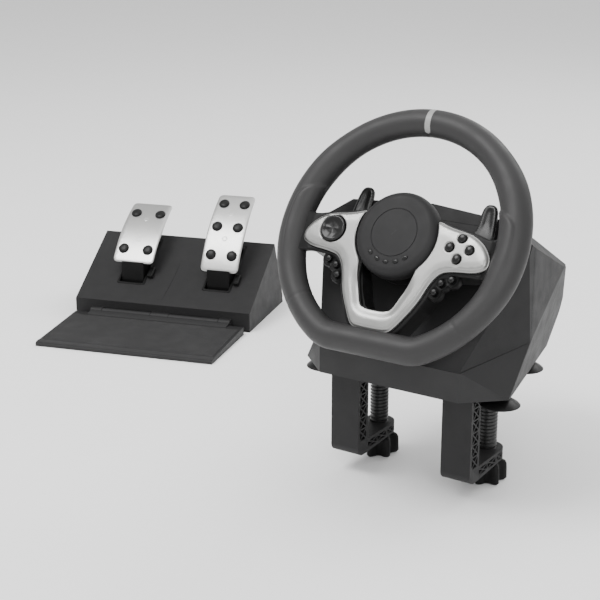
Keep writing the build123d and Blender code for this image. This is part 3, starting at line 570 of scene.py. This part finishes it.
def make_rim():
    around = 56
    rows = []
    for (x, y), (out_x, out_y) in rim_path():
        row = []
        swell = grip_swell(x, y)
        cut = seam_cut(x, y)
        for j in range(around):
            a = 2 * math.pi * j / around
            radial, front = math.cos(a), math.sin(a)
            radius = RIM_TUBE - cut + swell * (0.5 * (1 - radial) + 1.6 * max(0.0, radial))
            px, py = x + out_x * radius * radial, y + out_y * radius * radial
            radius += thumb_rest(px, py, front)
            row.append((x + out_x * radius * radial, y + out_y * radius * radial, radius * front))
        rows.append(row)
    shape = grid_shape(rows, close_rows=True)
    stand_for(make_piece("rim_grip", shape, WHEEL, "rim", angle=60), "rim")


def make_marker():
    """A pale strip let into the front of the rim at twelve o'clock."""
    rows = []
    steps, half = 26, 3.1
    for i in range(steps + 1):
        a = math.radians(28 + 128 * i / steps)
        width = half * math.sqrt(max(0.05, 1 - (abs(i / steps - 0.5) * 2) ** 14))
        lift = RIM_TUBE + 0.25
        row = []
        for x, depth in ((-width, 0.9), (-width, 0.1), (-width + 0.5, 0), (width - 0.5, 0),
                         (width, 0.1), (width, 0.9)):
            radius = lift - depth
            row.append((x, RIM_RADIUS + radius * math.cos(a), radius * math.sin(a)))
        rows.append(row)
    stand_for(make_piece("rim_marker_strip", grid_shape(rows), WHEEL, "rim_marker"), "rim_marker")


def mirrored_outline(right):
    """A whole outline from its right half."""
    return right + [(-x, y) for x, y in reversed(right)]


WING = [(40, 21.5), (58, 15.5), (83, 12), (98, 3), (107, -9), (107.5, -20), (96, -26), (73, -28),
        (60, -31), (51.5, -42), (43, -68), (25, -98), (17, -102.5)]
WINDOW = [(31, -48), (25, -63), (18.5, -79), (9, -82)]


def action_places():
    return {
        "action_button_up": (CONTROL_X, CONTROL_Y + ACTION_SPREAD),
        "action_button_right": (CONTROL_X + ACTION_SPREAD, CONTROL_Y),
        "action_button_down": (CONTROL_X, CONTROL_Y - ACTION_SPREAD),
        "action_button_left": (CONTROL_X - ACTION_SPREAD, CONTROL_Y),
    }


def spoke_holes(gap, hub_gap):
    """The hub and the V-shaped window below it are one opening in the trim."""
    ring = HUB_RADIUS + hub_gap
    corner = math.atan2(-30, 36)
    hub = [(ring * math.cos(a), ring * math.sin(a))
           for a in np.linspace(corner, math.pi - corner, 60)]
    sides = [(x, y + gap / 2) for x, y in WINDOW]
    window = soften([(-ring * 0.75, -22)] + [(-x, y) for x, y in sides] + sides[::-1]
                    + [(ring * 0.75, -22)], 0.35)
    return hub + [p for p in window if math.hypot(*p) > ring + 0.6 and p[1] < -20]


def make_trim():
    outline = soften(mirrored_outline(WING), 0.42)
    holes = [spoke_holes(0, 0.5), circle(-CONTROL_X, CONTROL_Y, DPAD_RADIUS + 0.9, 64)]
    holes += [circle(x, y, ACTION_RADIUS + 0.75) for x, y in action_places().values()]

    def height(points, edge, hole):
        window = distance_to(points, holes[0])
        below_hub = step_up(-points[:, 1], 40, 62)
        top = np.full(len(points), TRIM_FRONT)
        top -= 3.0 * (1 - step_up(edge, 0, 3.4))
        top -= 2.4 * (1 - step_up(window, 0.0, 9.0)) * below_hub
        top -= 0.7 * (1 - step_up(hole, 0, 1.0)) * (1 - below_hub)
        top += 0.5 * step_up(edge, 3, 11)
        return top

    shape = relief(outline, holes, PLATE_FRONT, height, step=2.2, rings=(0.4, 0.9, 1.5, 2.3, 3.3))
    stand_for(make_piece("spoke_trim_plate", shape, WHEEL, "spoke_trim", angle=40), "spoke_trim")


COVER = [(40, 24.5), (60, 19), (84, 15), (98, 11), (108, 11), (118, 18), (118, -42), (109, -34),
         (99, -30), (78, -31), (64, -34), (55, -44), (47, -68), (28, -101), (17, -105)]


def make_front_cover():
    outline = soften(mirrored_outline(COVER), 0.4)
    hole = spoke_holes(1.6, -2.0)

    def height(points, edge, gap):
        radius = np.hypot(points[:, 0], points[:, 1])
        top = PLATE_FRONT - 1.4 * (1 - step_up(edge, 0, 1.6)) - 0.05
        side = step_up(np.abs(points[:, 0]), 90, 100)
        return top + 6.5 * step_up(radius, 102, 115) * side

    shape = relief(outline, [hole], -1.0, height, step=3.2)
    stand_for(make_piece("front_cover_plate", shape, WHEEL, "wheel_front_cover", angle=50),
              "wheel_front_cover")


def make_hub():
    face, low = HUB_FRONT, -2.0
    profile = [(HUB_RADIUS - 3, low), (HUB_RADIUS, low), (HUB_RADIUS, low + 6)]
    fillet, steps = HUB_RADIUS - HUB_FACE_RADIUS, 9
    for i in range(1, steps + 1):
        a = math.pi / 2 * i / steps
        profile.append((HUB_FACE_RADIUS + fillet * math.cos(a),
                        low + 6 + (face - low - 6) * math.sin(a)))
    groove = 25.5
    profile += [(32, face + 0.25), (groove + 0.7, face + 0.5), (groove + 0.35, face - 0.1),
                (groove - 0.35, face - 0.1), (groove - 0.7, face + 0.5), (21, face + 0.6),
                (17, face + 0.8), (13, face + 0.95), (9, face + 1.05), (5, face + 1.1),
                (2, face + 1.12), (0, face + 1.12)]
    stand_for(make_piece("hub_cap_dome", lathe(profile, 96), WHEEL, "hub_cap", angle=35), "hub_cap")


def dome(radius, low, high, crown=0.35, sides=40):
    """A moulded button: straight side, rounded shoulder and a low dome."""
    shoulder = radius * crown
    profile = [(radius, low), (radius, high - shoulder)]
    for i in range(1, 6):
        a = math.pi / 2 * i / 5
        profile.append((radius - shoulder * (1 - math.cos(a)),
                        high - shoulder * (1 - math.sin(a) * 0.8)))
    profile += [(radius * 0.35, high - shoulder * 0.05), (0, high)]
    return lathe(profile, sides)


def make_buttons():
    for name, (x, y) in action_places().items():
        shape = moved(dome(ACTION_RADIUS, -2.4, TRIM_FRONT + 2.6, 0.45), x, y)
        stand_for(make_piece(name + "_cap", shape, WHEEL, name), name)
    for side, sign in (("left", -1), ("right", 1)):
        for i, (x, y) in enumerate(PODS):
            name = f"pod_button_{side}_{i + 1}"
            shape = moved(dome(POD_BUTTON_RADIUS, -2.0, 6.4, 0.6), sign * x, y)
            stand_for(make_piece(name + "_cap", shape, WHEEL, name), name)
    for i in range(5):
        name = f"hub_button_{i + 1}"
        angle = math.radians(-90 + (i - 2) * HUB_BUTTON_STEP)
        shape = dome(2.5, 8.5, 15.8, 0.6)
        shape.transform(Matrix.Diagonal((1.3, 0.9, 1, 1)))
        shape = moved(shape, turn=(angle + math.pi / 2, 4, "Z"))
        shape = moved(shape, HUB_BUTTON_ARC * math.cos(angle), HUB_BUTTON_ARC * math.sin(angle))
        stand_for(make_piece(name + "_cap", shape, WHEEL, name), name)


def make_dpad():
    """A round rocker, dished, with four faint arms."""
    rows = []
    sides = 72
    for radius in (14, 14, 13.5, 12.8, 11.5, 9.5, 7.5, 5.5, 3.5, 1.5, 0.05):
        row = []
        for j in range(sides):
            a = 2 * math.pi * j / sides
            arm = max(abs(math.cos(a)), abs(math.sin(a))) ** 24
            low = 5.9 if not rows else 11.4
            rim = {14: 0.0, 13.5: 0.55, 12.8: 0.8, 11.5: 0.6, 9.5: 0.0}.get(radius, -0.5)
            lift = 0.3 * arm * (1 if 3 < radius < 12 else 0)
            row.append((radius * math.cos(a), radius * math.sin(a), low + (rim + lift if rows else 0)))
        rows.append(row)
    shape = moved(grid_shape(rows), -CONTROL_X, CONTROL_Y)
    stand_for(make_piece("dpad_rocker", shape, WHEEL, "dpad"), "dpad")


def pod_loop():
    """The outline of three overlapping discs, one round each pod button."""
    middle = Vector(PODS[1])
    loop = []
    for i in range(96):
        a = 2 * math.pi * i / 96
        ray = Vector((math.cos(a), math.sin(a)))
        reach = 0.0
        for place in PODS:
            across = Vector(place) - middle
            along = across.dot(ray)
            off = POD_RADIUS ** 2 - (across.length_squared - along ** 2)
            if off > 0:
                reach = max(reach, along + math.sqrt(off))
        loop.append(tuple(middle + ray * reach))
    return loop


def make_pods():
    outline = pod_loop()

    def height(points, edge, hole):
        top = np.full(len(points), 2.4) - 1.2 * (1 - step_up(edge, 0, 0.8))
        top += 0.8 * step_up(edge, 0.3, 0.9) * (1 - step_up(edge, 1.5, 2.2))
        for x, y in PODS:
            near = np.hypot(points[:, 0] - x, points[:, 1] - y)
            top -= 0.8 * (1 - step_up(near, 4.0, 5.0))
        return top

    right = relief(outline, [], -5.0, height, step=1.3, rings=(0.5, 1.1, 1.9))
    left = right.copy()
    left.transform(Matrix.Diagonal((-1, 1, 1, 1)))
    bmesh.ops.reverse_faces(left, faces=left.faces)
    piece = make_piece("button_pod_shells", join(right, left), WHEEL, "button_pods")
    stand_for(piece, "button_pods")


def make_paddles():
    """Blades with rounded tips on upright pivot barrels behind the spokes."""
    blade = [(34, 2), (66, 2), (79, 11), (85, 22), (84, 32), (81, 52), (77, 58), (68, 58), (64, 51),
             (64, 32), (58, 19), (34, 18)]
    for side, sign in (("left", -1), ("right", 1)):
        outline = soften([(sign * x, y) for x, y in blade][::sign], 0.42)

        def height(points, edge, hole):
            grip = step_up(points[:, 1], 22, 40)
            return -33.6 - 1.2 * (1 - step_up(edge, 0, 2.0)) - 0.8 * step_up(edge, 3, 8) * grip

        shape = relief(outline, [], -37.0, height, step=1.5, rings=(0.35, 0.8, 1.4, 2.1))
        barrel = moved(lathe([(3.6, -8), (3.6, 8), (1.45, 8), (1.45, 11.6), (0, 11.6)], 32),
                       turn=(-math.pi / 2, 4, "X"))
        shape = join(shape, moved(barrel, sign * 34, 10, -32.5))
        name = "paddle_" + side
        stand_for(make_piece(name + "_blade", shape, WHEEL, name, angle=45), name)


# ---- steering base ----
def make_base():
    softened_piece("front_shell", 2.0, segments=4)
    softened_piece("rear_shell", 2.0, segments=4)
    softened_piece("base_tray", 0.9, segments=3, corner=7.0)
    softened_piece("clamp_arms", 1.3, segments=3, least=30, shortest=24)
    softened_piece("socket_panel", 0.8)


def thread(low, high):
    """The skin of the clamp screw's helical thread between two heights; the core fills its ends."""
    sides = 28
    turns = (high - low) / THREAD_PITCH
    rows = []
    root = SCREW_RADIUS - 1.5
    profile = ((0.0, root), (0.2, root + 0.1), (0.4, SCREW_RADIUS - 0.1), (0.62, SCREW_RADIUS),
               (0.84, root + 0.1))
    total = int(turns) * sides
    for i in range(total + 1):
        a = 2 * math.pi * i / sides
        lead = THREAD_PITCH * i / sides
        for share, radius in profile:
            rows.append((radius * math.cos(a), radius * math.sin(a), low + lead + share * THREAD_PITCH))
    shape = bmesh.new()
    verts = [shape.verts.new(p) for p in rows]
    count = len(profile)
    for i in range(total):
        for j in range(count - 1):
            a, b = i * count + j, (i + 1) * count + j
            shape.faces.new((verts[a], verts[b], verts[b + 1], verts[a + 1]))
        if i + sides <= total:
            a, b = i * count + count - 1, (i + 1) * count + count - 1
            c, d = (i + sides) * count, (i + 1 + sides) * count
            if d < len(verts):
                shape.faces.new((verts[a], verts[b], verts[d], verts[c]))
    return shape


KNOB_CORE, KNOB_LOBE, KNOB_LOBES = 15.5, 7.3, 6


def knob_rows():
    """A six-lobed star knob with flared wings and a domed underside."""
    rows = []
    levels = ((KNOB_LOW + 0.0, 0.72), (KNOB_LOW + 0.9, 0.92), (KNOB_LOW + 2.6, 1.0),
              (-8.0, 0.985), (-3.5, 0.97), (-0.6, 0.9), (KNOB_HIGH - 0.3, 0.78), (KNOB_HIGH, 0.6))
    for height, share in levels:
        row = []
        for j in range(96):
            a = 2 * math.pi * j / 96
            lobe = (0.5 - 0.5 * math.cos(KNOB_LOBES * a)) ** 1.3
            radius = share * (KNOB_CORE + KNOB_LOBE * lobe)
            row.append((radius * math.cos(a), radius * math.sin(a), height))
        rows.append(row)
    return rows


def make_clamps():
    for side, sign in (("left", -1), ("right", 1)):
        root = SCREW_RADIUS - 1.2
        core = lathe([(root, KNOB_LOW + 4), (root, 92.5), (5.0, 93.7), (5.0, 96.9)], 40)
        screw = join(thread(0.6, 93.0), core)
        piece = make_piece(f"clamp_thread_{side}", moved(screw, sign * CLAMP_X, SCREW_Y), BASE,
                           f"clamp_screw_{side}", angle=50)
        stand_for(piece, f"clamp_screw_{side}")
        knob = moved(grid_shape(knob_rows()), sign * CLAMP_X, SCREW_Y)
        piece = make_piece(f"clamp_star_{side}", knob, BASE, f"clamp_knob_{side}", angle=40)
        stand_for(piece, f"clamp_knob_{side}")
        profile = [(5.05, 94.0), (17.0, 94.0), (18.7, 94.6), (19.0, 95.6), (19.0, 98.0), (18.5, 98.7),
                   (17.8, 99.0), (12, 98.8), (0, 98.7)]
        pad = moved(lathe(profile, 56), sign * CLAMP_X, SCREW_Y)
        piece = make_piece(f"clamp_foot_{side}", pad, BASE, f"clamp_pad_{side}")
        stand_for(piece, f"clamp_pad_{side}")


def make_cups():
    profile = [(0, 102), (6.0, 102), (6.0, 99.6), (7.4, 98.2), (9.5, 97.3), (14, 95.2), (18.6, 92.5),
               (20.8, 90.5), (20.9, 90.1), (20.5, 90.0), (19.0, 91.0), (13, 93.6), (8, 94.9), (0, 95.2)]
    shapes = [moved(lathe(profile, 64), sign * x, y)
              for x, y in ((106.5, 21.0), (80.0, 135.0)) for sign in (-1, 1)]
    stand_for(make_piece("suction_cup_discs", join(*shapes), BASE, "suction_cups"), "suction_cups")


# ---- pedal unit ----
def pad_frame(name):
    x, foot, head = PEDALS[name][:3]
    along = Vector((0, head[0] - foot[0], head[1] - foot[1])).normalized()
    centre = Vector((x, (foot[0] + head[0]) / 2, (foot[1] + head[1]) / 2))
    turn = Matrix((Vector((1, 0, 0)), along, Vector((1, 0, 0)).cross(along))).transposed().to_4x4()
    return PEDAL @ Matrix.Translation(centre) @ turn


def bent(shape):
    for vert in shape.verts:
        vert.co.z -= vert.co.y ** 2 / (2 * PAD_CURVE)
    return shape


def make_pedal_pads():
    for name, (_, foot, head, width, rows, screws) in PEDALS.items():
        place = pad_frame(name)
        length = math.dist(foot, head)
        half_x, half_y = width / 2, length / 2
        side = half_x + 0.6
        corners = [(half_x - 0.5, half_y), (-half_x + 0.5, half_y), (-side, 0), (-half_x, -half_y),
                   (half_x, -half_y), (side, 0)]
        outline = rounded_box(corners, 7.5)

        def height(points, edge, hole):
            return -0.9 * (1 - step_up(edge, 0, 1.4))

        plate = bent(relief(outline, [], -2.5, height, step=5, rings=(0.5, 1.0, 1.6)))
        piece = make_piece(name + "_pad_plate", plate, place, name + "_pad", angle=40)
        stand_for(piece, name + "_pad")
        studs, bolts = [], []
        for row in rows:
            for sign in (-1, 1):
                stud = lathe([(8, -1), (8, 0.3), (7.8, 1.2), (6.9, 2.3), (5.3, 3.1), (3.0, 3.5),
                              (0, 3.6)], 40)
                studs.append(bent_place(stud, sign * (half_x - 12.5), row * length))
        for share in screws:
            ring = lathe([(3.9, -0.6), (3.9, 0.15), (3.5, 0.35), (3.0, 0.35), (2.7, 0.05), (1.7, 0.0),
                          (1.5, -0.5), (0, -0.55)], 32)
            bolts.append(bent_place(ring, 0, share * length))
        piece = make_piece(name + "_stud_domes", join(*studs), place, name + "_studs")
        stand_for(piece, name + "_studs")
        bolt = make_piece(name + "_pad_screws", join(*bolts), place, slot="steel")
        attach(bolt, name)


def bent_place(shape, x, y):
    """Stands a shape upright on the pad's crown."""
    return moved(shape, x, y, -y ** 2 / (2 * PAD_CURVE), turn=(-math.asin(y / PAD_CURVE), 4, "X"))


def rounded_box(corners, radius, step=2.5):
    """A polygon's outline with its sharp corners rounded; straight runs are divided."""
    loop = []
    count = len(corners)
    for i, corner in enumerate(corners):
        corner = Vector(corner)
        before, after = Vector(corners[i - 1]), Vector(corners[(i + 1) % count])
        bend = (corner - before).angle(after - corner)
        cut = radius * math.tan(bend / 2) if bend > 0.3 else 0.0
        start = corner + (before - corner).normalized() * cut
        end = corner + (after - corner).normalized() * cut
        if cut:
            for k in range(7):
                t = k / 7
                loop.append((start * (1 - t) + corner * t).lerp(corner * (1 - t) + end * t, t))
        bend_next = (after - corner).angle(Vector(corners[(i + 2) % count]) - after)
        cut_next = radius * math.tan(bend_next / 2) if bend_next > 0.3 else 0.0
        goal = after + (corner - after).normalized() * cut_next
        pieces = max(1, int((goal - end).length / step))
        loop += [end.lerp(goal, k / pieces) for k in range(pieces)]
    return [(p.x, p.y) for p in loop]


def make_heel_ribs():
    """Fine ribs across the heel plate, its front lip and its raised rear strip."""
    front, rear, nose = 129.5, 11.5, 5.7

    def surface(y):
        return nose + (rear - nose) * (y - 1.5) / (front - 1.5)

    profile = []
    pitch, first, last = 2.5, 15.0, 118.0
    for i in range(int((last - first) / pitch)):
        y = first + i * pitch
        for share, rise in ((0.0, 0.02), (0.25, 0.7), (0.55, 0.7), (0.8, 0.02)):
            profile.append((y + share * pitch, surface(y) + rise))
    under = [(y, surface(y) - 0.6) for y in (last, first - 0.5)]
    outline = [(first - 0.5, surface(first))] + profile + under
    rows = [[(x, y, z) for y, z in outline] for x in (-126, 126)]
    ribs = grid_shape(rows)
    lip = [(0.6, 5.0), (0.8, surface(1) + 0.5), (2.2, surface(2) + 1.0), (9.5, surface(9.5) + 1.0),
           (11.5, surface(11.5) - 0.1), (11.5, surface(11.5) - 1), (0.6, 4.0)]
    lip = grid_shape([[(x, y, z) for y, z in lip] for x in (-129.4, 129.4)])
    strip = [(119, surface(119) - 0.5), (119.6, surface(119) + 1.0), (127, rear + 2.0),
             (130.5, 14.1), (131.5, 13.8), (130.0, rear - 1)]
    strip = grid_shape([[(x, y, z) for y, z in strip] for x in (-107, 107)])
    piece = make_piece("heel_plate_ribs", join(ribs, lip, strip), PEDAL, "heel_plate", angle=25)
    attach(piece, "heel_rest")


def make_slot_frames():
    """The lips round the pedals' slots and the small stops beside their arms."""
    nose, nose_height, crest, crest_height = 141, 28, 259, 100
    rise = math.atan2(crest_height - nose_height, crest - nose)
    tilt = Matrix.Rotation(rise, 4, "X")
    shapes = []
    for name in PEDALS:
        x = PEDALS[name][0]
        outline = rounded_box([(22, 48.8), (-22, 48.8), (-22, -46), (22, -46)], 4)
        hole = rounded_box([(18.6, 45.9), (-18.6, 45.9), (-18.6, -42.8), (18.6, -42.8)], 2)

        def height(points, edge, gap):
            low_end = 1.22 * step_up(points[:, 1], 12, 26)
            shoulder = 0.9 * (1 - step_up(edge, 0, 1.2)) + 0.5 * (1 - step_up(gap, 0, 0.8))
            return 1.3 - low_end - shoulder * (1 - low_end / 1.3)

        lip = relief(outline, [hole], -0.8, height, step=3, rings=(0.5, 1.1))
        middle = 210.5
        height_there = nose_height + (middle - nose) * math.tan(rise)
        lip.transform(Matrix.Translation((x, middle, height_there)) @ tilt)
        shapes.append(lip)
        stop = relief(rounded_box([(4, 9), (-4, 9), (-4, -9), (4, -9)], 2), [], -0.5,
                      lambda points, edge, gap: 7.0 - 1.4 * (1 - step_up(edge, 0, 1.6)), step=2)
        place = middle - 20
        height_there = nose_height + (place - nose) * math.tan(rise)
        stop.transform(Matrix.Translation((x + 27, place, height_there)) @ tilt)
        shapes.append(stop)
    seam = []
    for share in np.linspace(0.0, 1.0, 12):
        y, x = 150 + 62 * share, 2.5 - 5.0 * (1 - share) ** 2
        z = nose_height + (y - nose) * math.tan(rise)
        seam.append([(x - 0.45, y, z - 0.4), (x - 0.2, y, z + 0.22), (x + 0.2, y, z + 0.22),
                     (x + 0.45, y, z - 0.4)])
    shapes.append(grid_shape(seam))
    piece = make_piece("pedal_slot_lips", join(*shapes), PEDAL, slot="dark_plastic")
    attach(piece, "pedal_unit")


def make_pedal_unit():
    softened_piece("pedal_cover", 1.4, segments=3, shortest=20, corner=6.0)
    softened_piece("heel_plate", 0.6, shortest=20)
    for name in PEDALS:
        softened_piece(name + "_arm", 0.9, shortest=10)
    make_pedal_pads()
    make_heel_ribs()
    make_slot_frames()


add_camera()
add_light()
add_floor(FLOOR_PAINT)
dress_cad_nodes()
make_rim()
make_marker()
make_trim()
make_front_cover()
make_hub()
make_buttons()
make_dpad()
make_pods()
make_paddles()
softened_piece("wheel_rear_cover", 0.7, shortest=4)
make_base()
make_clamps()
make_cups()
make_pedal_unit()

bpy.context.view_layer.update()
